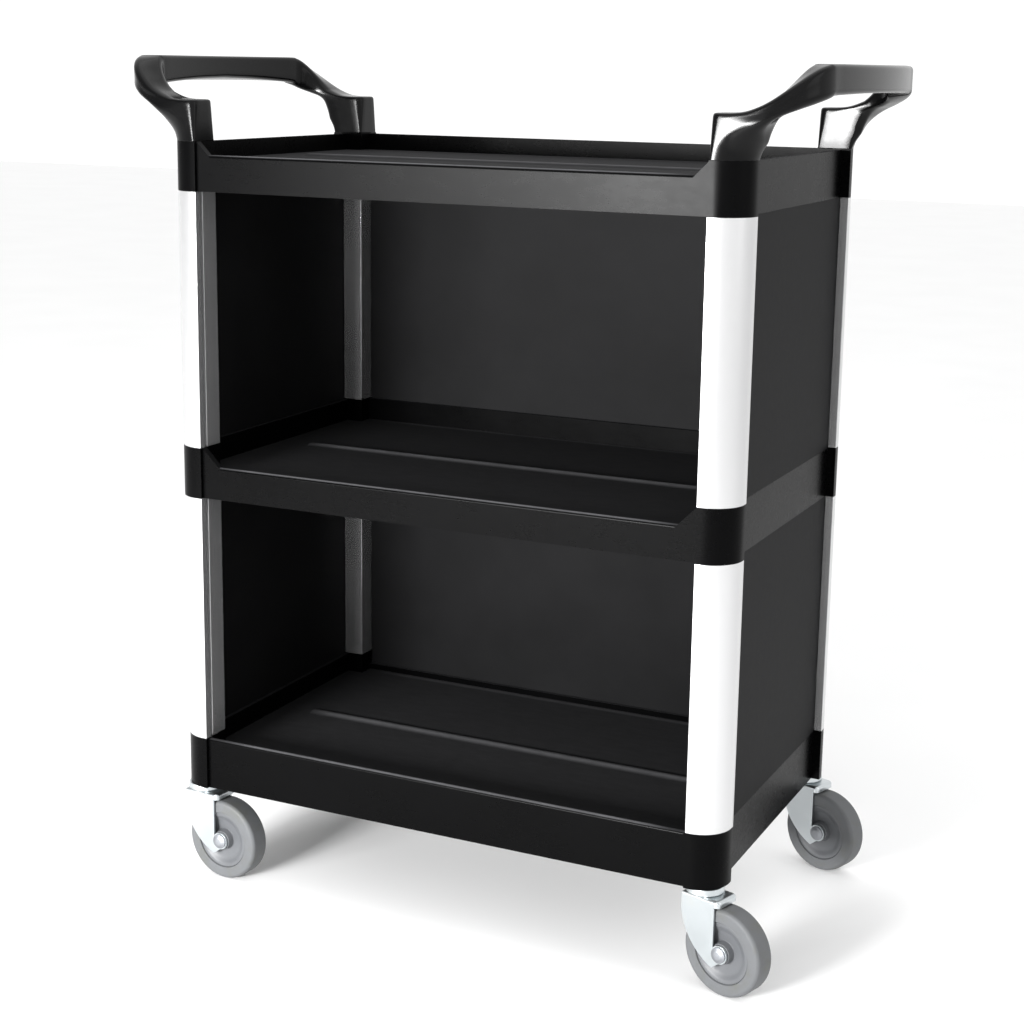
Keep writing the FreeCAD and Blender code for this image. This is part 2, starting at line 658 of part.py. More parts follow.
def caster(corner, sx, sy):
    """A swivel caster: stem and cup, race, fork, axle, sleeve, hub and tyre."""
    name = "caster_" + corner
    park = Size(sheet.get("park_" + corner), "Sizes.park_" + corner)
    x = (S.half_length - S.caster_inset) * sx
    y = (S.half_width - S.caster_inset) * sy
    cos = Size(math.cos(math.radians(park.value)), "cos(%s * 1 deg)" % park.text)
    sin = Size(math.sin(math.radians(park.value)), "sin(%s * 1 deg)" % park.text)
    axle_x, axle_y = x + S.trail * cos, y + S.trail * sin

    stem = new_body(name + "_stem")
    place(stem, x, y, 0)
    sketch = new_sketch(stem, "half", "XZ_Plane")
    head_top = S.crown_level - S.slack
    outline(sketch, [V(0, head_top - 3.4), V(S.pin_head - 2, head_top - 3.4),
                     V(S.pin_head, head_top - 1.6), V(S.pin_head, head_top),
                     V(S.pin_round, head_top), V(S.pin_round, S.cup_level),
                     V(S.cup_round - 1, S.cup_level), V(S.cup_round, S.cup_level + 1.5),
                     V(S.cup_round - 1, S.bottom_level), V(S.stem_round, S.bottom_level),
                     V(S.stem_round, S.bottom_level + S.stem_length),
                     V(0, S.bottom_level + S.stem_length)])
    spin(stem, "turned", sketch)

    fork = new_body(name + "_fork")
    place(fork, x, y, 0, park)
    sketch = new_sketch(fork, "side", "XZ_Plane")
    edge = S.trail - 8
    lead, tail = -S.fork_lead, edge + S.crown_beyond
    crown = S.crown_top
    half = S.fork_gap + S.fork_plate
    outline(sketch, [V(lead, crown), V(lead, S.wheel_round + 37, curve=(S.wheel_round + 22, 1)),
                     V(S.trail - 9, S.wheel_round - 17), V(S.trail, S.wheel_round - S.axle_boss),
                     V(S.trail, S.wheel_round), V(edge, S.wheel_round + 6),
                     V(edge, S.crown_level), V(tail, S.crown_level), V(tail, crown)])
    pad(fork, "plates", sketch, half * 2, both=True)
    sketch = new_sketch(fork, "ends", "XZ_Plane")
    circle_in(sketch, S.trail, S.wheel_round, S.axle_boss)
    pad(fork, "bosses", sketch, half * 2, both=True)
    sketch = new_sketch(fork, "inside", "XZ_Plane")
    outline(sketch, rectangle(-80, 0, 120, S.crown_level))
    pocket(fork, "wheel_space", sketch, S.fork_gap * 2, both=True)
    sketch = new_sketch(fork, "axle_side", "XZ_Plane")
    circle_in(sketch, S.trail, S.wheel_round, S.axle_round + S.running)
    pocket(fork, "axle_hole", sketch, half * 2 + 2, both=True)
    sketch = new_sketch(fork, "race_plan", lift=crown)
    circle_in(sketch, 0, 0, S.race_outer)
    pocket(fork, "race_seat", sketch, S.race_depth)
    sketch = new_sketch(fork, "pin_plan", lift=crown)
    circle_in(sketch, 0, 0, S.pin_round + S.running)
    pocket(fork, "pin_hole", sketch, crown - S.crown_level + 2)
    soften(fork, "crown_corners", S.crown_beyond - 0.5, lambda e, box, c=crown.value:
           box.ZLength > 5 and box.ZMax > c - 0.01 and box.ZMin > c - 9
           and box.XLength < 3 and box.YLength < 3)
    soften(fork, "crown_edges", S.race_depth, lambda e, box, c=crown.value:
           box.ZMax > c - 0.01 and box.ZLength < 0.01 and
           not isinstance(e.Curve, Part.Circle) and box.DiagonalLength > 20)

    race = new_body(name + "_race")
    place(race, x, y, crown - S.race_depth)
    sketch = new_sketch(race, "plan")
    circle_in(sketch, 0, 0, S.race_outer)
    circle_in(sketch, 0, 0, S.race_inner)
    pad(race, "ring", sketch, S.race_depth)

    bolt = new_body(name + "_bolt")
    place(bolt, axle_x, axle_y, S.wheel_round, park)
    sketch = new_sketch(bolt, "half")
    reach = half + S.nut_thick + 2
    outline(sketch, [V(0, -half - 3.6), V(S.axle_head - 4, -half - 3.3),
                     V(S.axle_head, -half - 1.4), V(S.axle_head, -half),
                     V(S.axle_round, -half), V(S.axle_round, reach - 1),
                     V(S.axle_round - 1, reach), V(0, reach)])
    spin(bolt, "turned", sketch)

    nut = new_body(name + "_nut")
    place(nut, axle_x, axle_y, S.wheel_round, park)
    sketch = new_sketch(nut, "plan", "XZ_Plane", lift=-half)
    across = S.nut_round * 0.8660254
    outline(sketch, [V(S.nut_round, 0), V(S.nut_round / 2, across), V(-S.nut_round / 2, across),
                     V(-S.nut_round, 0), V(-S.nut_round / 2, -across),
                     V(S.nut_round / 2, -across)])
    circle_in(sketch, 0, 0, S.axle_round + S.running / 4)
    pad(nut, "hexagon", sketch, S.nut_thick, back=True)

    sleeve = new_body(name + "_sleeve")
    place(sleeve, axle_x, axle_y, S.wheel_round, park)
    sketch = new_sketch(sleeve, "plan", "XZ_Plane")
    circle_in(sketch, 0, 0, S.sleeve_round)
    circle_in(sketch, 0, 0, S.axle_round + S.running / 4)
    pad(sleeve, "tube", sketch, S.fork_gap * 2, both=True)

    hub = new_body(name + "_hub")
    place(hub, axle_x, axle_y, S.wheel_round, park)
    sketch = new_sketch(hub, "half")
    bore = S.sleeve_round + S.running
    w, d, r = S.hub_half, S.hub_dish, S.rim_round
    rim = S.tyre_half - 1.5
    profile = [V(bore, -w), V(S.boss_round, -w), V(S.boss_round + 1.5, -d + 2),
               V(r - 9, -d), V(r - 3, -rim), V(r, -rim),
               V(r, rim), V(r - 3, rim), V(r - 9, d), V(S.boss_round + 1.5, d - 2),
               V(S.boss_round, w), V(bore, w)]
    outline(sketch, profile)
    spin(hub, "turned", sketch)

    tyre = new_body(name + "_tyre")
    place(tyre, axle_x, axle_y, S.wheel_round, park)
    sketch = new_sketch(tyre, "half")
    t, o = S.tyre_half, S.wheel_round
    shoulder = 4.5
    outline(sketch, [V(r, -rim), V(r + 1, -t), V(o - shoulder, -t, curve=(size(shoulder), 1)),
                     V(o, -t + shoulder), V(o, t - shoulder, curve=(size(shoulder), 1)),
                     V(o - shoulder, t), V(r + 1, t), V(r, rim)])
    spin(tyre, "turned", sketch)


for corner, sx, sy in CORNERS:
    caster(corner, sx, sy)

doc.recompute()

bad = []
for obj in doc.Objects:
    if "Invalid" in obj.State or "Error" in obj.State:
        bad.append("%s: %s" % (obj.Name, obj.State))
for obj in NODES:
    if obj.Shape.isNull() or not obj.Shape.isValid() or not obj.Shape.Solids:
        bad.append("%s: bad shape" % obj.Label)
if bad:
    raise RuntimeError("; ".join(bad))

os.makedirs("parts", exist_ok=True)
for obj in NODES:
    obj.Shape.exportStep("parts/%s.step" % obj.Label)
    box = obj.Shape.optimalBoundingBox()
    print("%-28s solids %d  x %.1f..%.1f  y %.1f..%.1f  z %.1f..%.1f" % (
        obj.Label, len(obj.Shape.Solids), box.XMin, box.XMax, box.YMin, box.YMax,
        box.ZMin, box.ZMax))
print(len(NODES), "nodes")
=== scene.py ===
"""Looks of the food service trolley: satin metal posts, moulded black shelves,
end handles, matt panels and four zinc-plated swivel casters with grey wheels.

Metres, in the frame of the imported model: X along the trolley, open side at -Y.
"""
import json
import math

import bmesh
import bpy
from mathutils import Matrix, Vector


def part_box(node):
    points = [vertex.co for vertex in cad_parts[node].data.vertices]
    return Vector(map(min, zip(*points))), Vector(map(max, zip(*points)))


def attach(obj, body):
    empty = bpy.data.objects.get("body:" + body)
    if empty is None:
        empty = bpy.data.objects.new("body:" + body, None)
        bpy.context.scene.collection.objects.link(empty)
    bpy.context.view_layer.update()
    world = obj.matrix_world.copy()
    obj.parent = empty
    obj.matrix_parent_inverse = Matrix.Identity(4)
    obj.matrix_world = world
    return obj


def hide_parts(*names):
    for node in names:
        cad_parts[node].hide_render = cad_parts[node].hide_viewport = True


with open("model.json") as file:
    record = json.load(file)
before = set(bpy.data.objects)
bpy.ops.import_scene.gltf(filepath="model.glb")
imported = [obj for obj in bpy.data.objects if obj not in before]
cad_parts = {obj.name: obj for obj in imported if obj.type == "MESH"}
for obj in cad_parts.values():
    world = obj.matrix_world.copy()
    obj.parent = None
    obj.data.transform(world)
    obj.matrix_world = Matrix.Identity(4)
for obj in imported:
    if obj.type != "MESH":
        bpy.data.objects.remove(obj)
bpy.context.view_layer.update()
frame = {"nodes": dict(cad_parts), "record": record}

bl_info = {
    "name": "Food Service Trolley",
    "version": (1, 0, 0),
    "blender": (4, 5, 0),
    "location": "View3D > Sidebar > Trolley",
    "description": "Finishes and moulded pieces of a three-shelf service trolley",
    "category": "Object",
}

NODES = frame["nodes"]
CORNERS = ("front_right", "back_right", "back_left", "front_left")

# Painted highlight lines along the shelves' ridges and front lip: place across the
# shelf, half width and strength. They fade out between the two distances from the middle.
PAINTED_HIGHLIGHT_LINES = ((-0.1935, 0.0075, 0.85), (-0.002, 0.0085, 0.75), (0.176, 0.0070, 0.35))
PAINTED_HIGHLIGHT_FADE = (0.225, 0.292)

# Plan sizes of a handle, in millimetres.
LEG_SIDE = 39.0
GRIP_DEEP = 26.0
GRIP_CORNER = 58.0
GAP_CORNER = 26.0
# Along the arm: where its edges begin to change to the grip's, how long they
# take, and where the grip begins. Above the shelf: where the feet's small
# edges have grown to the arm's.
SOFT_FROM, SOFT_OVER, GRIP_FROM = 60.0, 70.0, 140.0
FOOT_EDGE, FOOT_RISE = 2.5, 40.0
# Corner radii above this size may take up the whole section.
FULL_ROUND = 20.0

# Camera: stand in metres, then yaw, pitch and roll in degrees.
CAMERA_STAND = (0.9080, -1.9182, 0.9460)
CAMERA_TURN = (25.39, 11.94, 0.83)
CAMERA_SHIFT = -0.0495
# Softboxes: name, setting that holds the power, place, aim, width and height.
SOFTBOXES = (
    ("strip softbox", "strip_power", (-0.50, -2.6, 0.74), (-0.50, 0.0, 0.74), 0.6, 0.36),
    ("long softbox", "long_power", (-1.13, -2.6, 0.74), (-1.13, 0.0, 0.74), 0.66, 0.36),
    ("key softbox", "key_power", (-0.55, -2.6, 1.9), (0.0, 0.0, 0.45), 1.4, 1.2),
    ("side softbox", "fill_power", (2.6, -0.4, 1.6), (0.2, 0.0, 0.45), 1.2, 1.8),
    ("top softbox", "fill_power", (0.0, 0.2, 2.8), (0.0, 0.0, 0.5), 2.0, 2.0),
)
# The dark card: its direction, and how closely a ray has to point to it.
CARD_SIDE = (-0.82, -0.57, 0.0)
CARD_EDGE = (0.25, 0.90)
FLOOR_HALF = 12.0


# ---------------------------------------------------------------- shared tools

def named(*words):
    """The CAD nodes whose names hold every word."""
    return [NODES[n] for n in sorted(NODES) if all(w in n for w in words)]


def new_material(name):
    """An empty node material and its shader."""
    old = bpy.data.materials.get(name)
    if old:
        bpy.data.materials.remove(old)
    mat = bpy.data.materials.new(name)
    mat.use_nodes = True
    tree = mat.node_tree
    tree.nodes.clear()
    out = tree.nodes.new("ShaderNodeOutputMaterial")
    shader = tree.nodes.new("ShaderNodeBsdfPrincipled")
    tree.links.new(shader.outputs["BSDF"], out.inputs["Surface"])
    return mat, tree, shader


def place_in(tree, scale):
    """Object coordinates, stretched by a scale for each axis."""
    coords = tree.nodes.new("ShaderNodeTexCoord")
    mapping = tree.nodes.new("ShaderNodeMapping")
    mapping.inputs["Scale"].default_value = scale
    tree.links.new(coords.outputs["Object"], mapping.inputs["Vector"])
    return mapping.outputs["Vector"]


def noise(tree, vector, scale, detail=4.0, roughness=0.55):
    node = tree.nodes.new("ShaderNodeTexNoise")
    node.inputs["Scale"].default_value = scale
    node.inputs["Detail"].default_value = detail
    node.inputs["Roughness"].default_value = roughness
    tree.links.new(vector, node.inputs["Vector"])
    return node.outputs["Fac"]


def ramp(tree, value, stops):
    """A colour ramp from (position, grey or colour) stops."""
    node = tree.nodes.new("ShaderNodeValToRGB")
    elements = node.color_ramp.elements
    while len(elements) < len(stops):
        elements.new(0.5)
    for element, (position, colour) in zip(elements, stops):
        element.position = position
        if isinstance(colour, (int, float)):
            colour = (colour, colour, colour)
        element.color = (*colour, 1.0)
    tree.links.new(value, node.inputs["Fac"])
    return node.outputs["Color"]


def spread(tree, value, low, high):
    """Map 0..1 to low..high."""
    node = tree.nodes.new("ShaderNodeMapRange")
    node.inputs["To Min"].default_value = low
    node.inputs["To Max"].default_value = high
    tree.links.new(value, node.inputs["Value"])
    return node.outputs["Result"]


def fade(tree, value, start, end, most=1.0):
    """Rise smoothly from nothing at start to most at end."""
    node = tree.nodes.new("ShaderNodeMapRange")
    node.interpolation_type = "SMOOTHSTEP"
    node.inputs["From Min"].default_value = start
    node.inputs["From Max"].default_value = end
    node.inputs["To Max"].default_value = most
    tree.links.new(value, node.inputs["Value"])
    return node.outputs["Result"]


def blend(tree, factor, first, second):
    """Mix two colours by a factor."""
    node = tree.nodes.new("ShaderNodeMix")
    node.data_type = "RGBA"
    tree.links.new(factor, node.inputs["Factor"])
    tree.links.new(first, node.inputs["A"])
    tree.links.new(second, node.inputs["B"])
    return node.outputs["Result"]


def split(tree, vector):
    """The X, Y and Z of a vector."""
    node = tree.nodes.new("ShaderNodeSeparateXYZ")
    tree.links.new(vector, node.inputs[0])
    return node.outputs


def relief(tree, shader, heights):
    """Chained bumps from (height, strength, distance) entries."""
    normal = None
    for value, strength, distance in heights:
        node = tree.nodes.new("ShaderNodeBump")
        node.inputs["Strength"].default_value = strength
        node.inputs["Distance"].default_value = distance
        tree.links.new(value, node.inputs["Height"])
        if normal is not None:
            tree.links.new(normal, node.inputs["Normal"])
        normal = node.outputs["Normal"]
    tree.links.new(normal, shader.inputs["Normal"])


def math_node(tree, operation, *values):
    """A math node fed with sockets or plain numbers."""
    node = tree.nodes.new("ShaderNodeMath")
    node.operation = operation
    for socket, value in zip(node.inputs, values):
        if isinstance(value, (int, float)):
            socket.default_value = value
        else:
            tree.links.new(value, socket)
    return node.outputs[0]


def tint(colour, factor):
    return tuple(min(1.0, c * factor) for c in colour)


def dress(obj, mat):
    """Give an object one material."""
    obj.data.materials.clear()
    obj.data.materials.append(mat)


def crisp(obj, width, angle=32.0, segments=3):
    """Weld the imported skin, ease its edges and shade it smoothly."""
    for p in obj.data.polygons:
        p.use_smooth = True
    weld = obj.modifiers.new("weld", "WELD")
    weld.merge_threshold = 0.00002
    if width > 0:
        bevel = obj.modifiers.new("edges", "BEVEL")
        bevel.limit_method = "ANGLE"
        bevel.angle_limit = math.radians(angle)
        bevel.width = width
        bevel.segments = segments
        bevel.use_clamp_overlap = True
        bevel.harden_normals = False
    normals = obj.modifiers.new("normals", "WEIGHTED_NORMAL")
    normals.keep_sharp = False
    normals.weight = 60


def frame_body(node):
    """The body that a CAD node belongs to."""
    return next(name for name, nodes in frame["record"]["behaviour"]["bodies"].items()
                if node in nodes)


def mesh_object(name, bm, mat, body):
    """A new piece from a bmesh, riding on a body."""
    bmesh.ops.remove_doubles(bm, verts=bm.verts, dist=1e-6)
    bmesh.ops.recalc_face_normals(bm, faces=bm.faces)
    for face in bm.faces:
        face.smooth = True
    mesh = bpy.data.meshes.new(name)
    bm.to_mesh(mesh)
    bm.free()
    obj = bpy.data.objects.new(name, mesh)
    bpy.context.scene.collection.objects.link(obj)
    obj.data.materials.append(mat)
    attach(obj, body)
    return obj


# ------------------------------------------------------------------- settings

class TrolleyFinishes(bpy.types.PropertyGroup):
    """Colours and gloss of the trolley's pieces."""
    post_colour: bpy.props.FloatVectorProperty(
        name="Post colour", description="Colour of the extruded corner posts",
        subtype="COLOR", size=3, min=0, max=1, default=(0.63, 0.63, 0.635))
    post_roughness: bpy.props.FloatProperty(
        name="Post roughness", description="Blur of the posts' satin reflections",
        subtype="FACTOR", min=0, max=1, default=0.23)
    shelf_colour: bpy.props.FloatVectorProperty(
        name="Shelf colour", description="Colour of the moulded shelves",
        subtype="COLOR", size=3, min=0, max=1, default=(0.0010, 0.0010, 0.0011))
    # Deck colour: scuffing, plus a painted sheen that makes the shelves' upward faces lighter.
    deck_scuff_and_sheen_colour: bpy.props.FloatVectorProperty(
        name="Deck colour", description="Colour of the scuffed, upward faces of the shelves",
        subtype="COLOR", size=3, min=0, max=1, default=(0.026, 0.026, 0.0272))
    shelf_roughness: bpy.props.FloatProperty(
        name="Shelf roughness", description="Blur of the shelves' reflections",
        subtype="FACTOR", min=0, max=1, default=0.27)
    panel_colour: bpy.props.FloatVectorProperty(
        name="Panel colour", description="Colour of the infill panels",
        subtype="COLOR", size=3, min=0, max=1, default=(0.0080, 0.0080, 0.0084))
    handle_colour: bpy.props.FloatVectorProperty(
        name="Handle colour", description="Colour of the end handles",
        subtype="COLOR", size=3, min=0, max=1, default=(0.0018, 0.0018, 0.0019))
    handle_roughness: bpy.props.FloatProperty(
        name="Handle roughness", description="Blur of the handles' reflections",
        subtype="FACTOR", min=0, max=1, default=0.17)
    zinc_colour: bpy.props.FloatVectorProperty(
        name="Zinc colour", description="Colour of the plated caster forks",
        subtype="COLOR", size=3, min=0, max=1, default=(0.56, 0.595, 0.61))
    tyre_colour: bpy.props.FloatVectorProperty(
        name="Tyre colour", description="Colour of the rubber tyres",
        subtype="COLOR", size=3, min=0, max=1, default=(0.098, 0.102, 0.107))
    hub_colour: bpy.props.FloatVectorProperty(
        name="Hub colour", description="Colour of the wheel hubs",
        subtype="COLOR", size=3, min=0, max=1, default=(0.097, 0.101, 0.108))


class TrolleyForms(bpy.types.PropertyGroup):
    """Sizes of the moulded forms."""
    edge_ease: bpy.props.FloatProperty(
        name="Edge easing", description="Rounding of the shelves' moulded edges",
        subtype="DISTANCE", unit="LENGTH", min=0.0002, max=0.004, default=0.0028)
    post_ease: bpy.props.FloatProperty(
        name="Post easing", description="Rounding of the posts' cut ends",
        subtype="DISTANCE", unit="LENGTH", min=0.0001, max=0.002, default=0.0005)
    arm_round: bpy.props.FloatProperty(
        name="Arm rounding", description="Rounding of the handle arms' long edges",
        subtype="DISTANCE", unit="LENGTH", min=0.001, max=0.012, default=0.0085)
    grip_round: bpy.props.FloatProperty(
        name="Grip rounding", description="Rounding of the grip's long edges",
        subtype="DISTANCE", unit="LENGTH", min=0.001, max=0.012, default=0.005)
    grip_bow: bpy.props.FloatProperty(
        name="Grip bow", description="How far the grip bows outward at its middle",
        subtype="DISTANCE", unit="LENGTH", min=0.0, max=0.02, default=0.009)


class TrolleyStage(bpy.types.PropertyGroup):
    """Camera and studio light."""
    lens: bpy.props.FloatProperty(
        name="Lens", description="Focal length of the camera in millimetres",
        min=20, max=200, default=65.95)
    key_power: bpy.props.FloatProperty(
        name="Key light", description="Power of the soft key light",
        unit="POWER", min=0, max=500, default=6)
    strip_power: bpy.props.FloatProperty(
        name="Strip light", description="Power of the small bright strip light",
        unit="POWER", min=0, max=500, default=115)
    long_power: bpy.props.FloatProperty(
        name="Long light", description="Power of the dimmer light beside the strip",
        unit="POWER", min=0, max=500, default=42)
    fill_power: bpy.props.FloatProperty(
        name="Fill light", description="Power of the soft fill light",
        unit="POWER", min=0, max=500, default=7)
    card: bpy.props.FloatProperty(
        name="Dark card", description="How much a dark card at the left dims the studio",
        subtype="FACTOR", min=0, max=1, default=0.72)
    backdrop: bpy.props.FloatProperty(
        name="Backdrop", description="Brightness of the surrounding studio",
        min=0, max=4, default=1.12)


# ------------------------------------------------------------------ materials

def satin_aluminium(finishes):
    """Drawn, satin anodised metal: fine lines along Z and soft blotches."""
    mat, tree, shader = new_material("satin aluminium")
    lines = noise(tree, place_in(tree, (1.0, 1.0, 0.012)), 900.0, 3.0, 0.6)
    blotch = noise(tree, place_in(tree, (1.0, 1.0, 0.4)), 14.0, 4.0)
    colour = tuple(finishes.post_colour)
    shade = ramp(tree, blotch, [(0.3, tint(colour, 0.965)), (0.7, colour)])
    tree.links.new(shade, shader.inputs["Base Color"])
    shader.inputs["Metallic"].default_value = 0.78
    tree.links.new(spread(tree, lines, finishes.post_roughness - 0.05,
                          finishes.post_roughness + 0.06), shader.inputs["Roughness"])
    relief(tree, shader, [(lines, 0.12, 0.00004), (blotch, 0.05, 0.0004)])
    return mat


def painted_ridge_highlights(tree):
    """Painted highlights on the shelves: along the centre ridge, the back
    ridge and the front lip, fading out towards the ends."""
    coords = tree.nodes.new("ShaderNodeTexCoord")
    spot = split(tree, coords.outputs["Object"])
    total = None
    for place, reach, strength in PAINTED_HIGHLIGHT_LINES:
        away = math_node(tree, "ABSOLUTE", math_node(tree, "SUBTRACT", spot["Y"], place))
        line = fade(tree, away, reach, 0.0, strength)
        total = line if total is None else math_node(tree, "MAXIMUM", total, line)
    near, far = PAINTED_HIGHLIGHT_FADE
    ends = fade(tree, math_node(tree, "ABSOLUTE", spot["X"]), far, near)
    return math_node(tree, "MULTIPLY", total, ends)


def moulded_black(name, colour, roughness, grain=1500.0, depth=0.00003, level=0.042,
                  scuff_and_sheen=None):
    """Injection-moulded plastic with a fine spark grain and faint scuffs. Where a deck
    colour is given, the faces that look up are duller and take it: scuffing plus a painted
    sheen that lightens them, with painted highlight lines along the ridges and lip."""
    mat, tree, shader = new_material(name)
    plain = place_in(tree, (1.0, 1.0, 1.0))
    fine = noise(tree, plain, grain, 2.0, 0.5)
    wide = noise(tree, plain, 9.0, 5.0, 0.6)
    scuff = noise(tree, place_in(tree, (0.35, 1.0, 1.0)), 120.0, 6.0, 0.7)
    colour = tuple(colour)
    shade = ramp(tree, wide, [(0.30, tint(colour, 0.85)), (0.72, tint(colour, 1.25))])
    mixed = math_node(tree, "MULTIPLY_ADD", scuff, 0.5,
                      math_node(tree, "MULTIPLY", wide, 0.5))
    gloss = spread(tree, mixed, roughness - 0.07, roughness + 0.09)
    if scuff_and_sheen is not None:
        scuff_and_sheen = tuple(scuff_and_sheen)
        face = tree.nodes.new("ShaderNodeNewGeometry")
        # Upward faces get the deck colour: scuffed, and lighter as a painted sheen.
        up = fade(tree, split(tree, face.outputs["Normal"])["Z"], 0.55, 0.99)
        tray = ramp(tree, scuff, [(0.30, tint(scuff_and_sheen, 0.88)), (0.70, tint(scuff_and_sheen, 1.12))])
        # Painted highlights: lines along the ridges and the front lip, three to five times lighter
        # than the deck.
        painted_highlight = ramp(tree, scuff, [(0.25, tint(scuff_and_sheen, 3.0)), (0.75, tint(scuff_and_sheen, 5.4))])
        shade = blend(tree, up, shade, blend(tree, painted_ridge_highlights(tree), tray, painted_highlight))
        gloss = math_node(tree, "MULTIPLY_ADD", up, 0.60, gloss)
    tree.links.new(shade, shader.inputs["Base Color"])
    tree.links.new(gloss, shader.inputs["Roughness"])
    shader.inputs["IOR"].default_value = 1.5
    shader.inputs["Specular IOR Level"].default_value = level
    relief(tree, shader, [(fine, 0.22, depth), (wide, 0.06, 0.0006)])
    return mat


def plated_zinc(finishes):
    """Bright zinc plate over pressed steel: bluish, faintly clouded."""
    mat, tree, shader = new_material("zinc plate")
    plain = place_in(tree, (1.0, 1.0, 1.0))
    cloud = noise(tree, plain, 26.0, 4.0, 0.5)
    fine = noise(tree, plain, 700.0, 3.0, 0.5)
    colour = tuple(finishes.zinc_colour)
    warm = (colour[0] * 1.02, colour[1], colour[2] * 0.97)
    shade = ramp(tree, cloud, [(0.34, tint(colour, 0.96)), (0.55, colour), (0.72, warm)])
    tree.links.new(shade, shader.inputs["Base Color"])
    shader.inputs["Metallic"].default_value = 1.0
    tree.links.new(spread(tree, cloud, 0.27, 0.35), shader.inputs["Roughness"])
    relief(tree, shader, [(fine, 0.08, 0.00003), (cloud, 0.03, 0.0001)])
    return mat


def plain_steel(name, colour, low, high):
    """Machined steel of the small fasteners and bearing pieces."""
    mat, tree, shader = new_material(name)
    plain = place_in(tree, (1.0, 1.0, 1.0))
    turn = noise(tree, plain, 900.0, 3.0, 0.5)
    shade = ramp(tree, turn, [(0.3, tint(colour, 0.9)), (0.7, tint(colour, 1.05))])
    tree.links.new(shade, shader.inputs["Base Color"])
    shader.inputs["Metallic"].default_value = 1.0
    tree.links.new(spread(tree, turn, low, high), shader.inputs["Roughness"])
    relief(tree, shader, [(turn, 0.1, 0.00003)])
    return mat


def grey_rubber(finishes):
    """Non-marking rubber: matt, dusty, a little yellowed on the tread."""
    mat, tree, shader = new_material("grey rubber")
    plain = place_in(tree, (1.0, 1.0, 1.0))
    dust = noise(tree, plain, 60.0, 6.0, 0.65)
    fine = noise(tree, plain, 1300.0, 3.0, 0.6)
    colour = tuple(finishes.tyre_colour)
    olive = (colour[0] * 1.0, colour[1] * 0.99, colour[2] * 0.88)
    shade = ramp(tree, dust, [(0.32, tint(olive, 0.92)), (0.5, colour), (0.7, tint(colour, 1.05))])
    tree.links.new(shade, shader.inputs["Base Color"])
    tree.links.new(spread(tree, dust, 0.52, 0.72), shader.inputs["Roughness"])
    relief(tree, shader, [(fine, 0.25, 0.00006), (dust, 0.12, 0.0002)])
    return mat


def grey_nylon(finishes):
    """Moulded grey hub plastic."""
    mat, tree, shader = new_material("grey nylon")
    plain = place_in(tree, (1.0, 1.0, 1.0))
    wide = noise(tree, plain, 40.0, 4.0, 0.6)
    fine = noise(tree, plain, 1800.0, 2.0, 0.5)
    colour = tuple(finishes.hub_colour)
    shade = ramp(tree, wide, [(0.3, tint(colour, 0.95)), (0.7, tint(colour, 1.04))])
    tree.links.new(shade, shader.inputs["Base Color"])
    tree.links.new(spread(tree, wide, 0.38, 0.52), shader.inputs["Roughness"])
    relief(tree, shader, [(fine, 0.15, 0.00004)])
    return mat


# ---------------------------------------------------------------- handle form

# The front half of a handle as sections along its loop, in millimetres. Each
# row holds the way along the arm and the height above the shelf, first of the
# top edge, then of the outer and the inner bottom edge, and last the rounding
# of the outer bottom edge. The way starts at the leg's face to the shelf.
ARM = (
    (0.0, 0.0, 39.0, 0.0, 39.0, 0.0, 34.0),
    (0.0, 6.0, 39.2, 3.0, 40.0, 3.0, 33.5),
    (0.0, 15.0, 39.8, 9.0, 42.5, 8.0, 32.0),
    (0.0, 26.0, 41.0, 16.0, 47.0, 14.0, 27.0),
    (0.0, 36.0, 43.8, 22.0, 51.5, 20.0, 20.5),
    (0.4, 42.5, 47.2, 26.8, 55.0, 26.0, 15.0),
    (2.6, 44.8, 51.0, 30.6, 58.0, 31.0, 11.5),
    (10.0, 45.2, 55.0, 34.0, 61.0, 35.5, 9.5),
    (20.0, 45.4, 60.0, 37.6, 65.5, 40.0, 8.5),
    (32.0, 46.8, 67.0, 41.6, 71.5, 43.2, 8.5),
    (44.0, 50.8, 75.5, 45.4, 79.0, 45.4, 8.5),
    (57.0, 57.0, 84.5, 48.6, 88.0, 47.0, 8.5),
    (70.0, 64.8, 93.5, 51.6, 97.5, 48.8, 8.5),
    (83.0, 73.0, 103.5, 54.4, 107.5, 50.6, 8.0),
    (97.0, 81.2, 113.5, 57.0, 117.5, 52.6, 7.0),
    (111.0, 87.4, 123.5, 59.2, 127.5, 54.8, 6.0),
    (125.0, 90.8, 132.5, 61.0, 135.5, 57.2, 5.5),
    (140.0, 92.0, 144.0, 62.6, 146.0, 61.0, 5.0),
    (165.0, 92.0, 167.0, 63.4, 169.0, 65.5, 5.0),
    (200.0, 92.0, 201.0, 63.4, 202.0, 67.5, 5.0),
)


def between(rows, steps):
    """Rows of numbers joined by a smooth curve, with steps rows for each gap."""
    out = []
    for i in range(len(rows) - 1):
        a, b, c, d = (rows[max(i - 1, 0)], rows[i], rows[i + 1],
                      rows[min(i + 2, len(rows) - 1)])
        for k in range(steps):
            t = k / steps
            out.append([0.5 * (2 * q + (r - p) * t + (2 * p - 5 * q + 4 * r - w) * t * t
                               + (3 * q - p - 3 * r + w) * t ** 3)
                        for p, q, r, w in zip(a, b, c, d)])
    out.append(list(rows[-1]))
    return out


